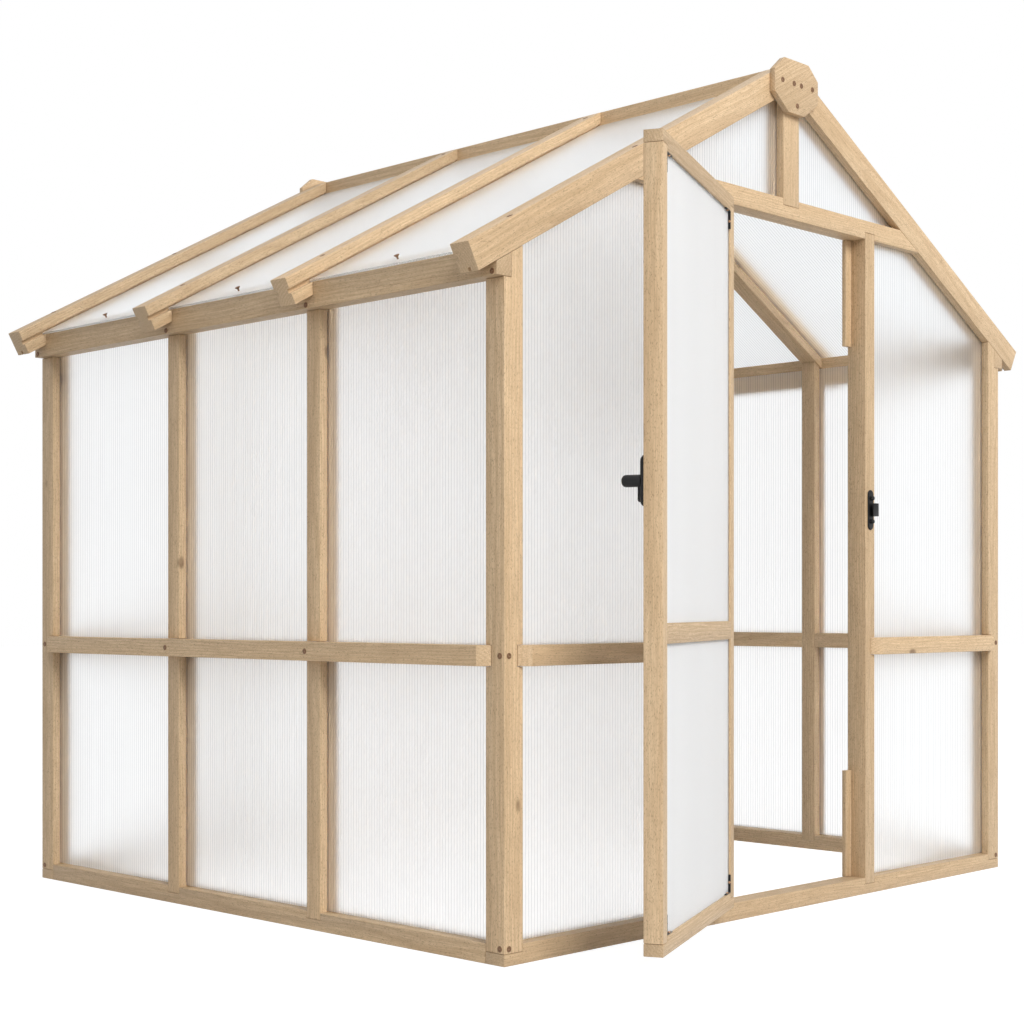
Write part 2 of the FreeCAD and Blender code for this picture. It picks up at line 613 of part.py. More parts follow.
def latch_keeper():
    """A plate on the latch jamb with a hooked lip: the tongue swings up behind the lip."""
    _, tongue_far = tongue_depths()
    lip_near = tongue_far + KEEPER_ROOM
    lip_far = lip_near + KEEPER_LIP_THICKNESS
    z0 = LATCH_HEIGHT - KEEPER_LIP_HEIGHT / 2
    z1 = LATCH_HEIGHT + KEEPER_LIP_HEIGHT / 2
    right = KEEPER_X + KEEPER_WIDTH / 2
    plate = slot_plate(KEEPER_X, LATCH_HEIGHT, KEEPER_WIDTH, KEEPER_LENGTH,
                       0, KEEPER_THICKNESS, KEEPER_BEVEL)
    post = box(right - KEEPER_POST_WIDTH, right, FRONT - lip_far, FRONT, z0, z1)
    lip = box(right - KEEPER_WIDTH, right, FRONT - lip_far, FRONT - lip_near, z0, z1)
    return plate.fuse(post).fuse(lip).removeSplitter()


# The whole greenhouse

def opened(shape):
    """A piece of the door, turned about the hinge pins to where the open door stands."""
    turned = shape.copy()
    turned.rotate(FreeCAD.Vector(PIN_X, PIN_Y, 0), Z_AXIS, -DOOR_OPEN)
    return turned


def frame_nodes():
    post = corner_post()
    front_stud, rear_stud = (side_stud(line) for line in STUD_LINES)
    jamb = gable_upright(("outer",), RAIL_LAP)
    rear_upright = other_end(gable_upright(("outer", "inner"), JAMB_WIDTH))
    side_rail = side_mid_rail()
    post_lap = -HALF + POST - RAIL_LAP
    front_rail = gable_mid_rail(post_lap, -JAMB_OUTER + RAIL_LAP)
    return {
        "front_sill": gable_sill(),
        "rear_sill": other_end(gable_sill()),
        "left_sill": side_sill(),
        "right_sill": other_side(side_sill()),
        "front_left_post": post,
        "front_right_post": other_side(post),
        "rear_left_post": other_end(post),
        "rear_right_post": other_side(other_end(post)),
        "left_front_stud": front_stud,
        "left_rear_stud": rear_stud,
        "right_front_stud": other_side(front_stud),
        "right_rear_stud": other_side(rear_stud),
        "door_jamb_hinge": jamb,
        "door_jamb_latch": other_side(jamb),
        "rear_left_stud": rear_upright,
        "rear_right_stud": other_side(rear_upright),
        "front_tie_beam": tie_beam(sheet_over_doorway=False),
        "rear_tie_beam": other_end(tie_beam(sheet_over_doorway=True)),
        "front_king_post": king_post(),
        "rear_king_post": other_end(king_post()),
        "left_eave_beam": eave_beam(),
        "right_eave_beam": other_side(eave_beam()),
        "left_mid_rail": side_rail,
        "right_mid_rail": other_side(side_rail),
        "front_left_mid_rail": front_rail,
        "front_right_mid_rail": other_side(front_rail),
        "rear_mid_rail": other_end(gable_mid_rail(post_lap, -post_lap)),
        "inner_noggings": inner_noggings(),
        "door_stops": door_stops(),
    }


def roof_nodes():
    front_line, first_line, second_line, _ = RAFTER_LINES
    gable_rafter = rafter(front_line, ("rear",), gable=True)
    left_rafters = [gable_rafter,
                    rafter(first_line, ("front", "rear"), gable=False),
                    rafter(second_line, ("front", "rear"), gable=False),
                    other_end(gable_rafter)]
    nodes = {"ridge_board": ridge_board(), "ridge_plates": [ridge_plate(), other_end(ridge_plate())]}
    for number, timber in enumerate(left_rafters, start=1):
        nodes[f"left_rafter_{number}"] = timber
        nodes[f"right_rafter_{number}"] = other_side(timber)
    return nodes


def glazing_nodes():
    left_wall = side_sheets()
    left_roof = roof_sheets()
    return {
        "left_wall_panels": left_wall,
        "right_wall_panels": [other_side(sheet) for sheet in left_wall],
        "front_wall_panels": gable_sheets(sheet_over_doorway=False),
        "rear_wall_panels": [other_end(sheet) for sheet in gable_sheets(sheet_over_doorway=True)],
        "left_roof_panels": left_roof,
        "right_roof_panels": [other_side(sheet) for sheet in left_roof],
    }


def door_nodes():
    closed = {
        "door_hinge_stile": [door_stile(DOOR_LEFT)],
        "door_latch_stile": [door_stile(DOOR_RIGHT - STILE_WIDTH)],
        "door_top_rail": [door_top_rail()],
        "door_mid_rail": [door_mid_rail()],
        "door_bottom_rail": [door_bottom_rail()],
        "door_panels": door_sheets(),
        "door_corner_braces": corner_braces(),
        "hinge_door_leaves": hinge_door_leaves(),
        "latch_plate": [latch_plate()],
        "latch_knob": [latch_knob()],
    }
    return {name: [opened(piece) for piece in pieces] for name, pieces in closed.items()}


def hardware_nodes():
    return {
        "hinge_frame_leaves": hinge_frame_leaves(),
        "hinge_pins": hinge_pins(),
        "latch_keeper": latch_keeper(),
    }


def main():
    os.makedirs("parts", exist_ok=True)
    nodes = {**frame_nodes(), **roof_nodes(), **glazing_nodes(), **door_nodes(), **hardware_nodes()}
    for name, pieces in nodes.items():
        shape = Part.Compound(pieces) if isinstance(pieces, list) else pieces
        shape.exportStep(f"parts/{name}.step")


main()
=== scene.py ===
import json
import math

import bmesh
import bpy
import numpy as np
from mathutils import Euler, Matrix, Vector


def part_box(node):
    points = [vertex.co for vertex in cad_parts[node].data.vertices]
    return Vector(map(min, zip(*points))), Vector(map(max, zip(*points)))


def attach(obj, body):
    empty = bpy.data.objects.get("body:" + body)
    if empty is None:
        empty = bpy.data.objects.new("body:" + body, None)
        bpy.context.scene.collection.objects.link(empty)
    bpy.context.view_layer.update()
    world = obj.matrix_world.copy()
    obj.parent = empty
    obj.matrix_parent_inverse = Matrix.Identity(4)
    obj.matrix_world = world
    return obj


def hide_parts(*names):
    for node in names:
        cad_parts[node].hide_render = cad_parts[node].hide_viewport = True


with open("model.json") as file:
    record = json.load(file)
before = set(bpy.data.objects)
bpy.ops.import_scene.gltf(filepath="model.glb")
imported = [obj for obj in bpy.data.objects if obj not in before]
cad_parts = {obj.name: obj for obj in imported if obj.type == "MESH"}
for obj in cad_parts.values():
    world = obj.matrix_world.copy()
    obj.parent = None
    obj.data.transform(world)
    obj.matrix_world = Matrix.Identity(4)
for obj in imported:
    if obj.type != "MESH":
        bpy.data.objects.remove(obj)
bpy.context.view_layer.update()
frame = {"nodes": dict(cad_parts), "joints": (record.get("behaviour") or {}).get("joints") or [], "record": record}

# A wooden greenhouse: planed timber, fluted twin-wall sheets, black fittings and brown screws.
# Metres, in the frame of the CAD model: +X along the front gable, +Y into the greenhouse, +Z up.

SEED = 830

# Timber
ROOF_PITCH = math.radians(28.65)
WELD = 1e-6                          # distance at which the corners of CAD triangles are joined
FLAT = math.radians(0.5)             # triangles that meet at less than this are one flat face
JOINT_GAP = 0.0008                   # by which a timber is drawn in, so that its joints show
ARRIS = 0.0011                       # easing along the edges of planed timber
ARRIS_STEPS = 2
SHARP = math.radians(32)             # edges sharper than this are eased
PITH_NEAR = 0.05                     # distance of a timber from the middle of its tree
PITH_FAR = 0.13
TREE_LENGTH = 6.0                    # stretch of trunk that the timbers are taken from
RING_PITCH = 0.0075                  # width of a growth ring

# Glazing
FLUTE_PITCH = 0.0096
SKIN = 0.0006
WEB = 0.0006
SHEET_LIFT = 0.0025                  # between a sheet's open flutes and what is below them
SHORTEST_FLUTE = 0.004
FLUTE_DEPTH = 0.005                  # to which light shows an open flute

# Fittings
FITTING_EDGE = 0.0008                # rounding along the edges of the black fittings

# Screws
HEAD_SIDES = 12
FLAT_HEAD = ((1.0, -0.0015), (1.0, 0.0003), (0.90, 0.0007), (0.5, 0.0008), (0.30, -0.0006))
STANDING_SCREW = ((0.34, -0.0020), (0.34, 0.0050), (0.60, 0.0070), (1.0, 0.0090), (1.0, 0.0105),
                  (0.86, 0.0112), (0.5, 0.0113), (0.30, 0.0098))
PAN_HEAD = ((1.0, -0.0005), (1.0, 0.0010), (0.82, 0.0019), (0.5, 0.0022), (0.32, 0.0010))
KEEPER_BUTTON = ((1.0, -0.0005), (1.0, 0.0060), (0.86, 0.0080), (0.5, 0.0089), (0.32, 0.0077))
RECESS_RINGS = 2                     # the last rings follow the cross recess
RECESS_LOBES = 4
RECESS_WAIST = 0.45                  # of the recess between its lobes
NEARLY_UPRIGHT = 0.9                 # upward share of a screw's axis past which x is taken as its side
FRAME_HEAD = 0.0071
PLATE_HEAD = 0.0050                  # on the latch plate
KEEPER_HEAD = 0.0062
BRACE_HEAD = 0.0031
POST_SCREW_EDGE = 0.015              # from the corner of a post
POST_SCREW_RISE = 0.011              # from the foot of a post
RAIL_SCREW_SHIFT = 0.005             # from the middle of a stud towards the rear
EAVE_SCREW_RISE = 0.0095
RAFTER_SCREW_EDGE = 0.013            # from the outer face of a gable rafter
RAFTER_EAVE_X = 1.050
RAFTER_TIE_X = 0.621
RAFTER_RIDGE_X = 0.078
ROOF_SCREW_X = 1.084                 # over the eave beams, in the middle of each bay
PLATE_SCREWS = ((-0.063, -0.062), (-0.012, -0.062), (0.020, -0.062), (0.070, -0.062), (0.002, -0.119))
KEEPER_PLATE = 0.0040
KEEPER_SCREW_REACH = 0.0325          # of the keeper's screws from the height of the knob
LATCH_SCREW_REACH = 0.0385
BRACE_PLATE = 0.0025
BRACE_SCREW_REACH = 0.026            # from the corner of a brace along its legs
SIDES = (("left", -1), ("right", 1))  # of the greenhouse, and the sign of x there
RAFTERS = (1, 2, 3, 4)               # of each side, from the front; the first and last are in the gables

# Timber's figure: noise cells to the metre along, across and through the fibres, the noise's detail and
# roughness, and the noise values between which a mask rises
BANDS = (1.1, 16.0, 16.0), 3.0, 0.5, 0.34, 0.68
STREAKS = (9.0, 420.0, 420.0), 3.0, 0.6, 0.30, 0.72
CURL = (55.0, 105.0, 105.0), 2.0, 0.5, 0.36, 0.64
PORES = (160.0, 620.0, 620.0), 1.0, 0.5, 0.56, 0.72
WANDER_CELLS = (1.7, 7.0, 7.0)
WANDER_REACH = (0.0, 0.034, 0.034)   # by which fibres leave the straight
RING_RISE = (-0.4, 1.0)              # of the wave that makes the rings
KNOT_CELLS = (4.5, 8.0, 8.0)
KNOT_LIMIT = 0.45                    # a cell whose random number is above this one has a knot
KNOT_FADE = (0.045, 0.105)           # distances between which a knot fades, in cells
HALO_FADE = (0.04, 0.2)
END_RISE = (0.2, 0.9)                # end grain between which a face becomes a cut end

# Timber's colours, and how far each part of the figure takes a colour towards a darker one
PALE_TIMBER = (0.745, 0.550, 0.340, 1)
DEEP_TIMBER = (0.565, 0.389, 0.219, 1)
DARK_FIBRE = (0.28, 0.176, 0.092, 1)
KNOT_BROWN = (0.15, 0.080, 0.037, 1)
CUT_END = (0.69, 0.508, 0.316, 1)
BAND_SHARE = 0.50
RING_SHARE = 0.50
HALO_SHARE = 0.25
KNOT_SHARE = 0.85
CUT_RING_SHARE = 0.60
CURL_SHARE = 0.30
STREAK_SHARE = 0.38
PORE_SHARE = 0.70
TONE_SHARE = 0.11                    # by which timbers are lighter or darker than each other
TIMBER_ROUGHNESS = 0.44
STREAK_ROUGHNESS = 0.16              # more on a streak
STREAK_RELIEF = 0.4                  # height of a streak, where a pore is one deep
TIMBER_BUMP = (0.25, 0.0004)         # strength and height
TIMBER_SPECULAR = 0.5

# Mottle of sheets and metals, and the sheets' finish and painted shade
PATCH_RISE = (0.32, 0.68)            # noise values between which a mottle's patches and grit rise
GRIT_RISE = (0.3, 0.7)
PATCH_DETAIL = 4.0
GRIT_DETAIL = 1.0
PATCH_SHARE = 0.7
GRIT_SHARE = 0.3
SHEET_MOTTLE = (3.0, 90.0)           # patches and grit to the metre
WALL_WHITES = ((0.990, 0.994, 0.998, 1), (0.996, 0.999, 1, 1))
# painted shade: the roof's sheets are the walls' plastic, given greyer whites so that they look darker
ROOF_SHADED_WHITES = ((0.915, 0.930, 0.945, 1), (0.930, 0.945, 0.955, 1))
# painted shade: the grey that stands for the shade of a web behind the skin that is looked at
WEB_SHADE_GREY = (0.44, 0.45, 0.46, 1)
WEB_FADE = (0.02, 0.18)              # distances from a web between which its stripe of painted shade fades, in flutes
SHEET_ROUGHNESS = (0.66, 0.74)
SHEET_IOR = 1.14
SHEET_COAT_IOR = 2.6
SHEET_COAT_ROUGHNESS = 0.9
WALL_CLEAR = 1.0                     # share of the light that comes through
DOOR_CLEAR = 0.40

# Metals' finishes
BLACK_MOTTLE = (30.0, 900.0)
BLACKS = ((0.008, 0.008, 0.0085, 1), (0.014, 0.014, 0.0145, 1))
BLACK_ROUGHNESS = (0.28, 0.42)
BLACK_SPECULAR = 0.22
BLACK_BUMP = (0.12, 0.0002)
SCREW_MOTTLE = (160.0, 1200.0)
SCREW_ROUGHNESS = (0.35, 0.6)
BROWN_SCREW = (0.25, 0.132, 0.066, 1), (0.16, 0.083, 0.040, 1), 0.25
BRASS_SCREW = (0.72, 0.45, 0.27, 1), (0.42, 0.24, 0.13, 1), 0.8
BLACK_SCREW = (0.030, 0.030, 0.031, 1), (0.012, 0.012, 0.012, 1), 0.4

# Camera, fitted to the photograph's 1024 pixel frame
PHOTO = 1024
FOCAL_PIXELS = 1805.87
HORIZON_ROW = 607.58
MIDDLE_COLUMN = 533.3
SENSOR = 36.0
CAMERA_PLACE = (-3.9249, -2.8569, 0.7998)
CAMERA_YAW = math.radians(46.1)

# Light
FLOOR_SIZE = 60.0
FLOOR_DEPTH = 0.0006                 # the floor lies just under the sills
FLOOR_BOUNCE = (0.65, 0.65, 0.65, 1)  # as a surface that throws light back
FLOOR_SHADE = (0.3, 0.3, 0.3, 1)     # as it is seen, over a glow
FLOOR_GLOW = 0.9
AMBIENT = 0.44
KEY_PLACE = (-3.8, -13.0, 10.0)
KEY_SIZE = 8.0
KEY_POWER = 2200.0
TOP_PLACE = (-1.0, 0.5, 8.0)
TOP_SIZE = 6.0
TOP_POWER = 30.0
SUBJECT = (0.0, 0.6, 1.1)            # the point that the lamps face

BODY_OF = {node: body for body, nodes in frame["record"]["behaviour"]["bodies"].items() for node in nodes}
SLOT_OF = {part["node"]: part["material_slot"] for part in frame["record"]["subparts"]}
JOINTS = {joint["name"]: joint for joint in frame["joints"]}

# Directions that timbers run in and sheets lie in
X_AXIS, Y_AXIS, Z_AXIS = np.eye(3)
UP_LEFT_SLOPE = np.array((math.cos(ROOF_PITCH), 0, math.sin(ROOF_PITCH)))
UP_RIGHT_SLOPE = UP_LEFT_SLOPE * (-1, 1, 1)
DOOR_OUT = np.array(JOINTS["latch_turn"]["axis"])
DOOR_ACROSS = np.array((-DOOR_OUT[1], DOOR_OUT[0], 0))
TIMBER_RUNS = np.array((X_AXIS, Y_AXIS, Z_AXIS, UP_LEFT_SLOPE, UP_RIGHT_SLOPE, DOOR_ACROSS))
SHEET_LAYS = ((Y_AXIS, Z_AXIS), (X_AXIS, Z_AXIS), (Y_AXIS, UP_LEFT_SLOPE), (Y_AXIS, UP_RIGHT_SLOPE),
              (DOOR_ACROSS, Z_AXIS))


# Shader helpers

def add_node(tree, kind, inputs=(), **settings):
    """Adds a node, sets its properties, and sets or links its inputs, given as (socket, value) pairs."""
    made = tree.nodes.new(kind)
    for name, value in settings.items():
        setattr(made, name, value)
    for socket, value in inputs:
        if isinstance(value, bpy.types.NodeSocket):
            tree.links.new(value, made.inputs[socket])
        else:
            made.inputs[socket].default_value = value
    return made


def maths(tree, operation, first, second=0.0):
    """One step of arithmetic on numbers."""
    return add_node(tree, "ShaderNodeMath", ((0, first), (1, second)), operation=operation).outputs[0]


def vector_maths(tree, operation, first, second):
    """One step of arithmetic on vectors."""
    return add_node(tree, "ShaderNodeVectorMath", ((0, first), (1, second)), operation=operation).outputs[0]


def ramp(tree, value, low, high, to_low=0.0, to_high=1.0):
    """A smooth step: to_low where the value is under low, to_high where it is over high."""
    inputs = (("Value", value), ("From Min", low), ("From Max", high),
              ("To Min", to_low), ("To Max", to_high))
    return add_node(tree, "ShaderNodeMapRange", inputs, interpolation_type="SMOOTHSTEP").outputs[0]


def blend_colours(tree, share, first, second):
    """The first colour, taken towards the second by a share. Sockets 6, 7 and 2 of the node are its
    colours."""
    inputs = ((0, share), (6, first), (7, second))
    return add_node(tree, "ShaderNodeMix", inputs, data_type="RGBA").outputs[2]


def noise(tree, vector, stretch, detail=2.0, roughness=0.5):
    """Noise with so many cells to the metre along each of the three directions."""
    cells = vector_maths(tree, "MULTIPLY", vector, stretch)
    inputs = (("Vector", cells), ("Scale", 1.0), ("Detail", detail), ("Roughness", roughness))
    return add_node(tree, "ShaderNodeTexNoise", inputs)


def noise_mask(tree, vector, stretch, detail, roughness, low, high):
    """Noise as a mask that rises between two of its values."""
    return ramp(tree, noise(tree, vector, stretch, detail, roughness).outputs[0], low, high)


def new_group(name, inputs, outputs):
    """An empty shader node group with named sockets, its input node and its output node."""
    group = bpy.data.node_groups.new(name, "ShaderNodeTree")
    for in_out, sockets in (("INPUT", inputs), ("OUTPUT", outputs)):
        for socket, kind in sockets:
            group.interface.new_socket(socket, in_out=in_out, socket_type=f"NodeSocket{kind}")
    return group, group.nodes.new("NodeGroupInput"), group.nodes.new("NodeGroupOutput")


def new_material(name):
    """A material with nothing but a Principled shader and its output."""
    material = bpy.data.materials.new(name)
    material.use_nodes = True
    tree = material.node_tree
    shader = tree.nodes["Principled BSDF"]
    return material, tree, shader


def place_group(tree, group, inputs):
    """Places a shared effect in a material, with its inputs as (socket, value) pairs."""
    return add_node(tree, "ShaderNodeGroup", inputs, node_tree=group)


def place_mottle(tree, mottle, patches, grit):
    """Places the mottle on Object coordinates."""
    place = add_node(tree, "ShaderNodeTexCoord").outputs["Object"]
    return place_group(tree, mottle, (("Vector", place), ("Patches", patches), ("Grit", grit))).outputs


def bump(tree, shader, height, strength, distance):
    """Shades a surface as if it had a height."""
    inputs = (("Height", height), ("Strength", strength), ("Distance", distance))
    made = add_node(tree, "ShaderNodeBump", inputs)
    tree.links.new(made.outputs["Normal"], shader.inputs["Normal"])


# Shared effects

def mottle_group():
    """Slow unevenness of a surface: a mask from two sizes of noise, and a fine height."""
    group, start, end = new_group("surface mottle",
                                  (("Vector", "Vector"), ("Patches", "Float"), ("Grit", "Float")),
                                  (("Mask", "Float"), ("Height", "Float")))
    grains = []
    for size, detail in (("Patches", PATCH_DETAIL), ("Grit", GRIT_DETAIL)):
        inputs = (("Vector", start.outputs["Vector"]), ("Scale", start.outputs[size]), ("Detail", detail))
        grains.append(add_node(group, "ShaderNodeTexNoise", inputs).outputs[0])
    patches, grit = grains
    slow = maths(group, "MULTIPLY", ramp(group, patches, *PATCH_RISE), PATCH_SHARE)
    fine = maths(group, "MULTIPLY", ramp(group, grit, *GRIT_RISE), GRIT_SHARE)
    group.links.new(maths(group, "ADD", slow, fine), end.inputs["Mask"])
    group.links.new(grit, end.inputs["Height"])
    return group


def timber_group():
    """Planed timber seen along its fibres: growth rings about a pith outside the section, slow bands of
    tone, a curly mottle, fibre streaks, short dark pores and a few small knots. The ends show the rings."""
    group, start, end = new_group("timber figure",
                                  (("Fibre", "Vector"), ("End Grain", "Float"), ("Tone", "Float")),
                                  (("Color", "Color"), ("Roughness", "Float"), ("Height", "Float")))
    fibre = start.outputs["Fibre"]
    wander = noise(group, fibre, WANDER_CELLS).outputs["Color"]
    wander = vector_maths(group, "SUBTRACT", wander, (0.5, 0.5, 0.5))
    bent = vector_maths(group, "ADD", fibre, vector_maths(group, "MULTIPLY", wander, WANDER_REACH))
    section = vector_maths(group, "MULTIPLY", bent, (0, 1, 1))
    radius = add_node(group, "ShaderNodeVectorMath", ((0, section),), operation="LENGTH").outputs["Value"]
    wave = maths(group, "SINE", maths(group, "MULTIPLY", radius, 2 * math.pi / RING_PITCH))
    rings = ramp(group, wave, *RING_RISE)
    bands, streaks, curl, pores = (noise_mask(group, bent, *part) for part in (BANDS, STREAKS, CURL, PORES))

    cells = vector_maths(group, "MULTIPLY", fibre, KNOT_CELLS)
    spots = add_node(group, "ShaderNodeTexVoronoi", (("Vector", cells), ("Scale", 1.0))).outputs
    number = add_node(group, "ShaderNodeSeparateColor", (("Color", spots["Color"]),)).outputs[0]
    chosen = maths(group, "GREATER_THAN", number, KNOT_LIMIT)
    knots = maths(group, "MULTIPLY", ramp(group, spots["Distance"], *KNOT_FADE, 1.0, 0.0), chosen)
    halo = maths(group, "MULTIPLY", ramp(group, spots["Distance"], *HALO_FADE, 1.0, 0.0), chosen)

    def stain(colour, mask, share, towards):
        return blend_colours(group, maths(group, "MULTIPLY", mask, share), colour, towards)

    side = stain(PALE_TIMBER, bands, BAND_SHARE, DEEP_TIMBER)
    side = stain(side, rings, RING_SHARE, DEEP_TIMBER)
    side = stain(side, halo, HALO_SHARE, DEEP_TIMBER)
    side = stain(side, knots, KNOT_SHARE, KNOT_BROWN)
    cut_end = stain(CUT_END, rings, CUT_RING_SHARE, DEEP_TIMBER)
    colour = blend_colours(group, ramp(group, start.outputs["End Grain"], *END_RISE), side, cut_end)
    colour = stain(colour, curl, CURL_SHARE, DEEP_TIMBER)
    colour = stain(colour, streaks, STREAK_SHARE, DARK_FIBRE)
    colour = stain(colour, pores, PORE_SHARE, DARK_FIBRE)
    shade = maths(group, "ADD", 1.0, maths(group, "MULTIPLY", start.outputs["Tone"], TONE_SHARE))
    toned = add_node(group, "ShaderNodeVectorMath", ((0, colour), ("Scale", shade)), operation="SCALE")
    group.links.new(toned.outputs[0], end.inputs["Color"])

    gloss = maths(group, "ADD", TIMBER_ROUGHNESS, maths(group, "MULTIPLY", streaks, STREAK_ROUGHNESS))
    group.links.new(gloss, end.inputs["Roughness"])
    relief = maths(group, "SUBTRACT", maths(group, "MULTIPLY", streaks, STREAK_RELIEF), pores)
    group.links.new(relief, end.inputs["Height"])
    return group


# Finishes

def oiled_timber(figure):
    """Light brown planed timber that reads its fibres, cut ends and tone from the piece's attributes."""
    material, tree, shader = new_material("oiled timber")
    read = {name: add_node(tree, "ShaderNodeAttribute", attribute_name=name)
            for name in ("fibre", "end_grain", "tone")}
    grain = place_group(tree, figure, (("Fibre", read["fibre"].outputs["Vector"]),
                                       ("End Grain", read["end_grain"].outputs["Fac"]),
                                       ("Tone", read["tone"].outputs["Fac"])))
    tree.links.new(grain.outputs["Color"], shader.inputs["Base Color"])
    tree.links.new(grain.outputs["Roughness"], shader.inputs["Roughness"])
    shader.inputs["Specular IOR Level"].default_value = TIMBER_SPECULAR
    bump(tree, shader, grain.outputs["Height"], *TIMBER_BUMP)
    return material


def twin_wall(name, mottle, clear, dim, bright):
    """Milky twin-wall plastic: light comes through it scattered, and a grey stripe of painted shade darkens it
    where a web stands behind the skin that is looked at; its gloss is a little uneven, and a matt coat on that
    skin gives it a milky white."""
    material, tree, shader = new_material(name)
    haze = place_mottle(tree, mottle, *SHEET_MOTTLE)
    flute = add_node(tree, "ShaderNodeAttribute", attribute_name="flute").outputs["Fac"]
    from_web = maths(tree, "PINGPONG", flute, 0.5)
    bounces = add_node(tree, "ShaderNodeLightPath").outputs["Transmission Depth"]
    looked_at = maths(tree, "LESS_THAN", bounces, 0.5)
    # painted shade: a grey stripe where a web stands, only on the first skin that a ray meets
    web = maths(tree, "MULTIPLY", ramp(tree, from_web, *WEB_FADE, 1.0, 0.0), looked_at)
    white = blend_colours(tree, haze["Mask"], dim, bright)
    tree.links.new(blend_colours(tree, web, white, WEB_SHADE_GREY), shader.inputs["Base Color"])
    tree.links.new(ramp(tree, haze["Mask"], 0.0, 1.0, *SHEET_ROUGHNESS), shader.inputs["Roughness"])
    shader.inputs["Transmission Weight"].default_value = clear
    shader.inputs["IOR"].default_value = SHEET_IOR
    tree.links.new(looked_at, shader.inputs["Coat Weight"])
    shader.inputs["Coat IOR"].default_value = SHEET_COAT_IOR
    shader.inputs["Coat Roughness"].default_value = SHEET_COAT_ROUGHNESS
    return material


def satin_black(mottle):
    """Black paint with a satin gloss and a fine orange-peel surface."""
    material, tree, shader = new_material("satin black")
    peel = place_mottle(tree, mottle, *BLACK_MOTTLE)
    tree.links.new(blend_colours(tree, peel["Mask"], *BLACKS), shader.inputs["Base Color"])
    tree.links.new(ramp(tree, peel["Mask"], 0.0, 1.0, *BLACK_ROUGHNESS), shader.inputs["Roughness"])
    shader.inputs["Specular IOR Level"].default_value = BLACK_SPECULAR
    bump(tree, shader, peel["Height"], *BLACK_BUMP)
    return material


def screw_metal(name, mottle, bright, dull, metallic):
    """Plated screw metal, duller in patches."""
    material, tree, shader = new_material(name)
    wear = place_mottle(tree, mottle, *SCREW_MOTTLE)
    tree.links.new(blend_colours(tree, wear["Mask"], bright, dull), shader.inputs["Base Color"])
    tree.links.new(ramp(tree, wear["Mask"], 0.0, 1.0, *SCREW_ROUGHNESS), shader.inputs["Roughness"])
    shader.inputs["Metallic"].default_value = metallic
    return material


# Mesh helpers

def mesh_points(mesh):
    """The places of a mesh's vertices, one in each row."""
    points = np.empty(len(mesh.vertices) * 3)
    mesh.vertices.foreach_get("co", points)
    return points.reshape(-1, 3)


def faces_of_solid(start):
    """The faces that are reached from a face over edges that just two faces share."""
    found, search = {start}, [start]
    while search:
        for edge in search.pop().edges:
            if len(edge.link_faces) == 2:
                beyond = [face for face in edge.link_faces if face not in found]
                found.update(beyond)
                search.extend(beyond)
    return sorted(found, key=lambda face: face.index)


def welded_copy(node):
    """A new mesh with a CAD node's triangles welded together and its flat faces joined up. Solids that
    touch along an edge, which the welding has joined, are taken apart again."""
    work = bmesh.new()
    work.from_mesh(frame["nodes"][node].data)
    bmesh.ops.remove_doubles(work, verts=work.verts, dist=WELD)
    if any(len(edge.link_faces) > 2 for edge in work.edges):
        work.faces.index_update()
        solids = {solid[0].index: solid for solid in map(faces_of_solid, work.faces)}
        for solid in solids.values():
            bmesh.ops.split(work, geom=solid, use_only_faces=True)
    bmesh.ops.dissolve_limit(work, angle_limit=FLAT, verts=work.verts, edges=work.edges)
    mesh = bpy.data.meshes.new(node)
    work.to_mesh(mesh)
    work.free()
    return mesh


def solid_labels(mesh):
    """For each vertex, the lowest vertex number in its solid: numbers spread along edges until they
    settle."""
    ends = np.empty(len(mesh.edges) * 2, dtype=np.int32)
    mesh.edges.foreach_get("vertices", ends)
    ends = ends.reshape(-1, 2)
    labels = np.arange(len(mesh.vertices))
    while True:
        spread = labels.copy()
        np.minimum.at(spread, ends.ravel(), np.repeat(labels[ends].min(axis=1), 2))
        if np.array_equal(spread, labels):
            return labels
        labels = spread


def add_piece(name, mesh, body, material, smooth=False):
    """Puts a mesh into the scene as a piece that rides on a body."""
    mesh.materials.append(material)
    mesh.polygons.foreach_set("use_smooth", np.full(len(mesh.polygons), smooth))
    piece = bpy.data.objects.new(name, mesh)
    bpy.context.scene.collection.objects.link(piece)
    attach(piece, body)
    return piece


def ease_edges(piece, width):
    """Rounds the sharp edges of a piece and keeps its flat faces flat."""
    bevel = piece.modifiers.new("eased edges", "BEVEL")
    bevel.width = width
    bevel.segments = ARRIS_STEPS
    bevel.limit_method = "ANGLE"
    bevel.angle_limit = SHARP
    bevel.harden_normals = True


# Timber

def fibre_basis(points):
    """Rows along, across and through a timber: it runs in the direction in which it reaches furthest."""
    along = TIMBER_RUNS[np.ptp(points @ TIMBER_RUNS.T, axis=0).argmax()]
    across = np.cross(Y_AXIS if abs(along[1]) < 0.5 else X_AXIS, along)
    across /= np.linalg.norm(across)
    return np.array((along, across, np.cross(along, across)))


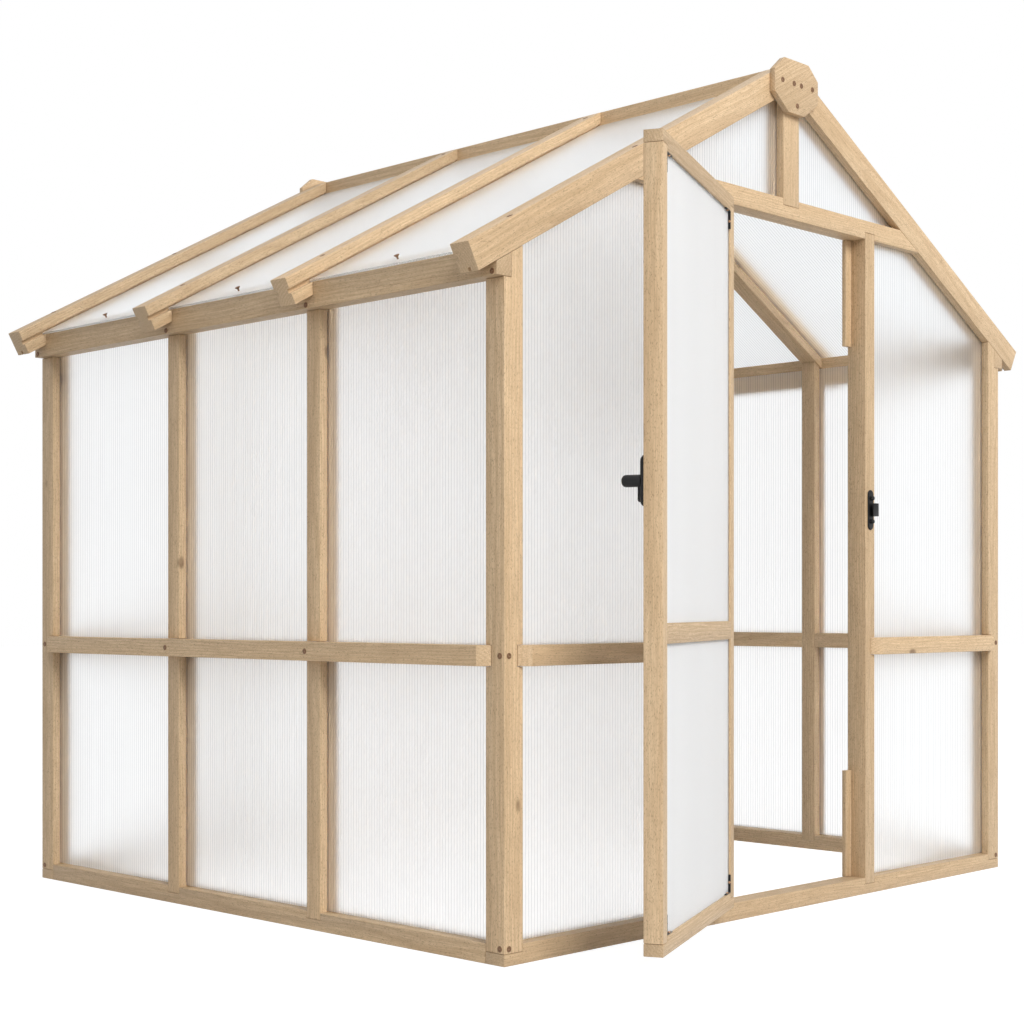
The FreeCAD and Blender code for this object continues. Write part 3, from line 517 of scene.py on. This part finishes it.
def timber_piece(node, material, dice):
    """A CAD timber with eased edges, and with attributes that say how its fibres lie.

    The attribute fibre is a point's place along, across and through the timber, moved to a random place
    in a tree whose pith is the first axis. End grain is the square of the cosine between a face's normal
    and the fibres. Tone is one random number for each solid.
    """
    mesh = welded_copy(node)
    points = mesh_points(mesh)
    labels = solid_labels(mesh)
    fibre = np.empty_like(points)
    along = np.empty_like(points)
    tone = np.empty(len(points))
    for label in np.unique(labels):
        own = labels == label
        basis = fibre_basis(points[own])
        angle = dice.uniform(0, 2 * math.pi)
        pith = dice.uniform(PITH_NEAR, PITH_FAR) * np.array((0, math.cos(angle), math.sin(angle)))
        start = np.array((dice.uniform(0, TREE_LENGTH), 0, 0))
        fibre[own] = (points[own] - points[own].mean(axis=0)) @ basis.T + pith + start
        along[own] = basis[0]
        tone[own] = dice.uniform(-1, 1)
    normals = np.empty(len(mesh.polygons) * 3)
    mesh.polygons.foreach_get("normal", normals)
    first = np.empty(len(mesh.polygons), dtype=np.int32)
    mesh.polygons.foreach_get("loop_start", first)
    corners = np.empty(len(mesh.loops), dtype=np.int32)
    mesh.loops.foreach_get("vertex_index", corners)
    end_grain = (normals.reshape(-1, 3) * along[corners[first]]).sum(axis=1) ** 2
    mesh.attributes.new("fibre", "FLOAT_VECTOR", "POINT").data.foreach_set("vector", fibre.ravel())
    mesh.attributes.new("tone", "FLOAT", "POINT").data.foreach_set("value", tone)
    mesh.attributes.new("end_grain", "FLOAT", "FACE").data.foreach_set("value", end_grain)
    piece = add_piece(f"{node}_planed", mesh, BODY_OF[node], material, smooth=True)
    shrink = piece.modifiers.new("joint gaps", "DISPLACE")
    shrink.strength = -JOINT_GAP
    shrink.mid_level = 0
    ease_edges(piece, ARRIS)
    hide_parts(node)


# Glazing

def outline_at(u, corner_u, corner_v):
    """Lower and upper edge of a convex outline at each u: the lowest and highest chord that spans it."""
    first, second = np.triu_indices(len(corner_u), 1)
    sloped = np.abs(corner_u[second] - corner_u[first]) > WELD
    first, second = first[sloped], second[sloped]
    share = (u[:, None] - corner_u[first]) / (corner_u[second] - corner_u[first])
    chord = corner_v[first] + share * (corner_v[second] - corner_v[first])
    spans = (share > -WELD) & (share < 1 + WELD)
    return np.where(spans, chord, np.inf).min(axis=1), np.where(spans, chord, -np.inf).max(axis=1)


def sheet_lay(corners):
    """Directions across and along the flutes, and out of a sheet: it is thinnest in the last one."""
    lays = [(across, along, np.cross(across, along)) for across, along in SHEET_LAYS]
    return min(lays, key=lambda lay: np.ptp(corners @ lay[2]))


def fluted_sheet(corners):
    """Points, faces and flute numbers of a twin-wall sheet whose flutes open at both ends.

    A point is u across the flutes, v along them and w out of the sheet. The lines u are the two faces of
    each web. The stations v are the outline's lower and upper edge at that line, and the depth to which
    light shows a flute from there. The levels w are the faces of the two skins. Faces join neighbours on
    this grid of stations, levels and lines.
    """
    across, along, out = sheet_lay(corners)
    corner_u, corner_v, corner_w = corners @ across, corners @ along, corners @ out
    width = np.ptp(corner_u) - WEB
    webs = np.arange(0, width, FLUTE_PITCH)
    webs += corner_u.min() + (width - np.ptp(webs)) / 2
    low, high = outline_at(np.concatenate((webs, webs + WEB)), corner_u, corner_v)
    tall = (high - low - SHEET_LIFT).reshape(2, -1).min(axis=0) > SHORTEST_FLUTE
    lines = np.stack((webs[tall], webs[tall] + WEB), axis=1).ravel()
    low, high = outline_at(lines, corner_u, corner_v)
    low = low + SHEET_LIFT
    depth = np.minimum(FLUTE_DEPTH, (high - low) / 3)
    v = np.stack((low, low + depth, high - depth, high))
    w = np.array((corner_w.min(), corner_w.min() + SKIN, corner_w.max() - SKIN, corner_w.max()))
    points = lines[:, None] * across + v[:, None, :, None] * along + w[:, None, None] * out
    bottom, low_floor, high_floor, top = np.arange(points.size // 3).reshape(points.shape[:3])

    def on_level(level, at, near, far):
        return np.stack((near[level, at], near[level, at + 1], far[level, at + 1], far[level, at]), axis=1)

    def on_line(at, level, near, far):
        return np.stack((near[level, at], near[level + 1, at], far[level + 1, at], far[level, at]), axis=1)

    def on_end(end, level, at):
        near, far = end[level], end[level + 1]
        return np.stack((near[at], near[at + 1], far[at + 1], far[at]), axis=1)

    every = np.arange(len(lines) - 1)
    web, flute = every[::2], every[1::2]
    layers = np.arange(len(w) - 1)
    faces = [on_level(3, every, bottom, top), on_level(0, every, bottom, top)[:, ::-1],
             on_line(np.zeros_like(layers), layers, bottom, top),
             on_line(np.full_like(layers, len(lines) - 1), layers, bottom, top)[:, ::-1],
             on_end(low_floor, 1, flute), on_end(high_floor, 1, flute)[:, ::-1]]
    for near, far in ((bottom, low_floor), (high_floor, top)):
        faces += [on_level(1, flute, near, far), on_level(2, flute, near, far)[:, ::-1],
                  on_line(flute, 1, near, far)[:, ::-1], on_line(flute + 1, 1, near, far)]
    for level, at in ((0, every), (2, every), (1, web)):
        faces += [on_end(bottom, level, at), on_end(top, level, at)[:, ::-1]]
    used, faces = np.unique(np.concatenate(faces), return_inverse=True)
    flute_number = np.broadcast_to((lines - lines[0]) / FLUTE_PITCH, points.shape[:3])
    return points.reshape(-1, 3)[used], faces.reshape(-1, 4), flute_number.ravel()[used]


def glazing_piece(node, material):
    """The fluted sheets that stand for the plain plates of a CAD glazing node."""
    plates = welded_copy(node)
    corners = mesh_points(plates)
    labels = solid_labels(plates)
    points, faces, flutes, count = [], [], [], 0
    for label in np.unique(labels):
        sheet_points, sheet_faces, sheet_flutes = fluted_sheet(corners[labels == label])
        points.append(sheet_points)
        faces.append(sheet_faces + count)
        flutes.append(sheet_flutes)
        count += len(sheet_points)
    bpy.data.meshes.remove(plates)
    mesh = bpy.data.meshes.new(node)
    mesh.from_pydata(np.concatenate(points), [], np.concatenate(faces).tolist())
    mesh.attributes.new("flute", "FLOAT", "POINT").data.foreach_set("value", np.concatenate(flutes))
    piece = add_piece(f"{node}_fluted", mesh, BODY_OF[node], material)
    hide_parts(node)


# Fittings and screws

def fitting_piece(node, material):
    """A black fitting with its edges rounded."""
    mesh = welded_copy(node)
    piece = add_piece(f"{node}_rounded", mesh, BODY_OF[node], material, smooth=True)
    ease_edges(piece, FITTING_EDGE)
    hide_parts(node)


def screw_heads(name, screws, rings, radius, body, material):
    """Screw heads in one piece. A head is rings about its axis: a rim, an eased edge and a cross recess.

    A point is the screw's place, plus the ring's share of the radius in the direction of its angle, plus
    the ring's height along the axis. In the recess the share shrinks between the four lobes.
    """
    places = np.array([place for place, _ in screws], dtype=float)
    outward = np.array([axis for _, axis in screws], dtype=float)
    helper = np.where(np.abs(outward[:, 2:]) > NEARLY_UPRIGHT, X_AXIS, Z_AXIS)
    side = np.cross(outward, helper)
    side /= np.linalg.norm(side, axis=1, keepdims=True)
    up = np.cross(outward, side)
    share, height = np.array(rings).T
    angle = np.arange(HEAD_SIDES) * 2 * math.pi / HEAD_SIDES
    lobe = np.where(np.arange(HEAD_SIDES) % (HEAD_SIDES // RECESS_LOBES) == 0, 1, RECESS_WAIST)
    reach = np.repeat(share[:, None], HEAD_SIDES, axis=1) * radius
    reach[-RECESS_RINGS:] *= lobe
    spoke = (np.cos(angle)[:, None] * side[:, None] + np.sin(angle)[:, None] * up[:, None])
    points = (places[:, None, None] + reach[..., None] * spoke[:, None]
              + height[:, None, None] * outward[:, None, None])
    grid = np.arange(points.size // 3).reshape(points.shape[:3])
    beyond = np.roll(grid, -1, axis=2)
    walls = np.stack((grid[:, :-1], beyond[:, :-1], beyond[:, 1:], grid[:, 1:]), axis=-1).reshape(-1, 4)
    backs = grid[:, 0, ::-1]
    floors = grid[:, -1]
    mesh = bpy.data.meshes.new(name)
    mesh.from_pydata(points.reshape(-1, 3), [], [*walls.tolist(), *backs.tolist(), *floors.tolist()])
    add_piece(name, mesh, body, material)


def middle(node):
    """The middle of a CAD node's box."""
    low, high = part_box(node)
    return (low + high) / 2


def post_screws():
    """On both outer faces of each corner post, at the height of the mid rails and at its foot."""
    screws = []
    rail_z = middle("left_mid_rail").z
    for node, x_sign, y_sign in (("front_left_post", -1, -1), ("front_right_post", 1, -1),
                                 ("rear_left_post", -1, 1), ("rear_right_post", 1, 1)):
        low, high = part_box(node)
        x = low.x if x_sign < 0 else high.x
        y = low.y if y_sign < 0 else high.y
        for z in (rail_z, low.z + POST_SCREW_RISE):
            screws.append(((x, y - y_sign * POST_SCREW_EDGE, z), (x_sign, 0, 0)))
            screws.append(((x - x_sign * POST_SCREW_EDGE, y, z), (0, y_sign, 0)))
    return screws


def wall_screws():
    """Where mid rails and eave beams cross the uprights of the side walls and of the rear gable."""
    screws = []
    for side, x_sign in SIDES:
        rail_low, rail_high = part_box(f"{side}_mid_rail")
        rail_x = rail_low.x if x_sign < 0 else rail_high.x
        eave_low, eave_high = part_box(f"{side}_eave_beam")
        eave_x = eave_low.x if x_sign < 0 else eave_high.x
        studs = [middle(f"{side}_{place}_stud").y for place in ("front", "rear")]
        ends = [eave_low.y + POST_SCREW_EDGE, eave_high.y - POST_SCREW_EDGE]
        rail_z = middle(f"{side}_mid_rail").z
        screws += [((rail_x, y + RAIL_SCREW_SHIFT, rail_z), (x_sign, 0, 0)) for y in studs]
        screws += [((eave_x, y, eave_low.z + EAVE_SCREW_RISE), (x_sign, 0, 0)) for y in studs + ends]
        rear_y, rear_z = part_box("rear_mid_rail")[1].y, middle("rear_mid_rail").z
        screws.append(((middle(f"rear_{side}_stud").x, rear_y, rear_z), (0, 1, 0)))
    return screws


def rafter_screws():
    """On top of the rafters: over the posts and tie beams in the gables, at eave and ridge elsewhere."""
    screws = []
    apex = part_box("left_rafter_1")[1].z + abs(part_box("left_rafter_1")[1].x) * math.tan(ROOF_PITCH)
    for side, x_sign in SIDES:
        out = (x_sign * math.sin(ROOF_PITCH), 0, math.cos(ROOF_PITCH))
        for number in RAFTERS:
            low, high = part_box(f"{side}_rafter_{number}")
            gable_y = {RAFTERS[0]: low.y + RAFTER_SCREW_EDGE, RAFTERS[-1]: high.y - RAFTER_SCREW_EDGE}
            y = gable_y.get(number, (low.y + high.y) / 2)
            inner_x = RAFTER_TIE_X if number in gable_y else RAFTER_RIDGE_X
            for x in (RAFTER_EAVE_X, inner_x):
                screws.append(((x_sign * x, y, apex - x * math.tan(ROOF_PITCH)), out))
    return screws


def plate_screws():
    """Five screws in each ridge plate, measured from the middle of its top edge."""
    low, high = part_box("ridge_plates")
    return [((x, y, high.z + drop), (0, y_sign, 0))
            for y, y_sign in ((low.y, -1), (high.y, 1)) for x, drop in PLATE_SCREWS]


def roof_sheet_screws():
    """Screws that hold the lower ends of the roof sheets, one in each bay."""
    screws = []
    for side, x_sign in SIDES:
        out = np.array((x_sign * math.sin(ROOF_PITCH), 0, math.cos(ROOF_PITCH)))
        top = (mesh_points(frame["nodes"][f"{side}_roof_panels"].data) @ out).max()
        z = (top - ROOF_SCREW_X * math.sin(ROOF_PITCH)) / math.cos(ROOF_PITCH)
        rafters = [middle(f"{side}_rafter_{number}").y for number in RAFTERS]
        for near, far in zip(rafters, rafters[1:]):
            screws.append(((x_sign * ROOF_SCREW_X, (near + far) / 2, z), out))
    return screws


def keeper_screws():
    """Above and below the keeper's lip, on its plate."""
    low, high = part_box("latch_keeper")
    x, z = (low.x + high.x) / 2, (low.z + high.z) / 2
    y = high.y - KEEPER_PLATE
    return [((x, y, z + reach), (0, -1, 0)) for reach in (-KEEPER_SCREW_REACH, KEEPER_SCREW_REACH)]


def latch_screws():
    """Above and below the knob, on the outer face of the latch plate."""
    points = mesh_points(frame["nodes"]["latch_plate"].data)
    face = (points.max(axis=0) + points.min(axis=0)) / 2
    face += ((points @ DOOR_OUT).max() - face @ DOOR_OUT) * DOOR_OUT
    return [(face + reach * Z_AXIS, DOOR_OUT) for reach in (-LATCH_SCREW_REACH, LATCH_SCREW_REACH)]


def brace_screws():
    """One screw in each leg of each corner brace. Most of a brace's points are near its corner."""
    mesh = welded_copy("door_corner_braces")
    points = mesh_points(mesh)
    labels = solid_labels(mesh)
    bpy.data.meshes.remove(mesh)
    screws = []
    for label in np.unique(labels):
        brace = points[labels == label]
        legs = brace @ np.array((DOOR_ACROSS, Z_AXIS)).T
        low, high, mean = legs.min(axis=0), legs.max(axis=0), legs.mean(axis=0)
        corner = np.where(mean - low < high - mean, low, high)
        inward = np.sign(mean - corner)
        depth = (brace @ DOOR_OUT).mean() * DOOR_OUT
        on_stile = corner + inward * (BRACE_PLATE, BRACE_SCREW_REACH)
        on_rail = corner + inward * (BRACE_SCREW_REACH, BRACE_PLATE)
        screws.append((on_stile[0] * DOOR_ACROSS + on_stile[1] * Z_AXIS + depth, inward[0] * DOOR_ACROSS))
        screws.append((on_rail[0] * DOOR_ACROSS + on_rail[1] * Z_AXIS + depth, inward[1] * Z_AXIS))
    return screws


# Stage

def white_where_seen(tree, seen, otherwise):
    """Chooses the seen shader for camera, glossy and transmission rays, and the other one for rays that
    light a surface, which have met one."""
    rays = add_node(tree, "ShaderNodeLightPath").outputs
    direct = maths(tree, "MAXIMUM", rays["Is Camera Ray"], rays["Is Glossy Ray"])
    direct = maths(tree, "MAXIMUM", direct, rays["Is Transmission Ray"])
    direct = maths(tree, "MULTIPLY", direct, maths(tree, "LESS_THAN", rays["Diffuse Depth"], 0.5))
    return add_node(tree, "ShaderNodeMixShader", ((0, direct), (1, otherwise), (2, seen))).outputs[0]


def studio_floor():
    """A pale floor that looks white and keeps a faint shadow."""
    half = FLOOR_SIZE / 2
    corners = ((-half, -half), (half, -half), (half, half), (-half, half))
    mesh = bpy.data.meshes.new("floor")
    mesh.from_pydata([(x, y, -FLOOR_DEPTH) for x, y in corners], [], [(0, 1, 2, 3)])
    material = bpy.data.materials.new("pale floor")
    material.use_nodes = True
    tree = material.node_tree
    tree.nodes.remove(tree.nodes["Principled BSDF"])
    bounce = add_node(tree, "ShaderNodeBsdfDiffuse", (("Color", FLOOR_BOUNCE),)).outputs[0]
    faint = add_node(tree, "ShaderNodeBsdfDiffuse", (("Color", FLOOR_SHADE),)).outputs[0]
    white = add_node(tree, "ShaderNodeEmission", (("Strength", FLOOR_GLOW),)).outputs[0]
    seen = add_node(tree, "ShaderNodeAddShader", ((0, faint), (1, white))).outputs[0]
    tree.links.new(white_where_seen(tree, seen, bounce), tree.nodes["Material Output"].inputs["Surface"])
    mesh.materials.append(material)
    floor = bpy.data.objects.new("floor", mesh)
    bpy.context.scene.collection.objects.link(floor)


def studio_world():
    """White where it is seen, and a softer white as light."""
    world = bpy.data.worlds.new("studio")
    world.use_nodes = True
    tree = world.node_tree
    ambient = tree.nodes["Background"]
    ambient.inputs["Color"].default_value = (1, 1, 1, 1)
    ambient.inputs["Strength"].default_value = AMBIENT
    white = add_node(tree, "ShaderNodeBackground", (("Color", (1, 1, 1, 1)), ("Strength", 1.0))).outputs[0]
    tree.links.new(white_where_seen(tree, white, ambient.outputs[0]),
                   tree.nodes["World Output"].inputs["Surface"])
    bpy.context.scene.world = world


def soft_lamp(name, place, size, power):
    """A square lamp that faces the greenhouse."""
    data = bpy.data.lights.new(name, "AREA")
    data.size = size
    data.energy = power
    lamp = bpy.data.objects.new(name, data)
    lamp.location = place
    lamp.rotation_euler = (Vector(SUBJECT) - Vector(place)).to_track_quat("-Z", "Y").to_euler()
    bpy.context.scene.collection.objects.link(lamp)


def photo_camera():
    """A level camera; its shift keeps the greenhouse's uprights parallel, as in the photograph."""
    data = bpy.data.cameras.new("camera")
    data.sensor_width = SENSOR
    data.lens = FOCAL_PIXELS / PHOTO * SENSOR
    data.shift_x = (PHOTO / 2 - MIDDLE_COLUMN) / PHOTO
    data.shift_y = (HORIZON_ROW - PHOTO / 2) / PHOTO
    camera = bpy.data.objects.new("camera", data)
    camera.location = CAMERA_PLACE
    camera.rotation_euler = Euler((math.pi / 2, 0, -CAMERA_YAW))
    bpy.context.scene.collection.objects.link(camera)
    bpy.context.scene.camera = camera


def main():
    """Dresses every CAD node, adds the screws and sets the stage."""
    dice = np.random.default_rng(SEED)
    mottle = mottle_group()
    timber = oiled_timber(timber_group())
    wall_sheet = twin_wall("wall sheet", mottle, WALL_CLEAR, *WALL_WHITES)
    door_sheet = twin_wall("door sheet", mottle, DOOR_CLEAR, *WALL_WHITES)
    # the roof sheets' greyer whites are painted shade on the same plastic as the walls
    roof_sheet = twin_wall("roof sheet", mottle, WALL_CLEAR, *ROOF_SHADED_WHITES)
    black = satin_black(mottle)
    brown = screw_metal("brown screws", mottle, *BROWN_SCREW)
    brass = screw_metal("brass screws", mottle, *BRASS_SCREW)
    dark = screw_metal("black screws", mottle, *BLACK_SCREW)
    for node, slot in SLOT_OF.items():
        if slot == "timber":
            timber_piece(node, timber, dice)
        elif slot == "glazing":
            sheet = roof_sheet if "roof" in node else wall_sheet
            glazing_piece(node, door_sheet if BODY_OF[node] == "door" else sheet)
        else:
            fitting_piece(node, black)
    screw_heads("frame_screws", [*post_screws(), *wall_screws(), *rafter_screws(), *plate_screws()],
                FLAT_HEAD, FRAME_HEAD, "frame", brown)
    screw_heads("roof_sheet_screws", roof_sheet_screws(), STANDING_SCREW, FRAME_HEAD, "frame", brown)
    screw_heads("keeper_screws", keeper_screws(), KEEPER_BUTTON, KEEPER_HEAD, "frame", dark)
    screw_heads("latch_plate_screws", latch_screws(), PAN_HEAD, PLATE_HEAD, "door", dark)
    screw_heads("brace_screws", brace_screws(), PAN_HEAD, BRACE_HEAD, "door", brass)
    studio_floor()
    studio_world()
    soft_lamp("key lamp", KEY_PLACE, KEY_SIZE, KEY_POWER)
    soft_lamp("top lamp", TOP_PLACE, TOP_SIZE, TOP_POWER)
    photo_camera()
    bpy.context.scene.view_settings.view_transform = "Standard"


main()
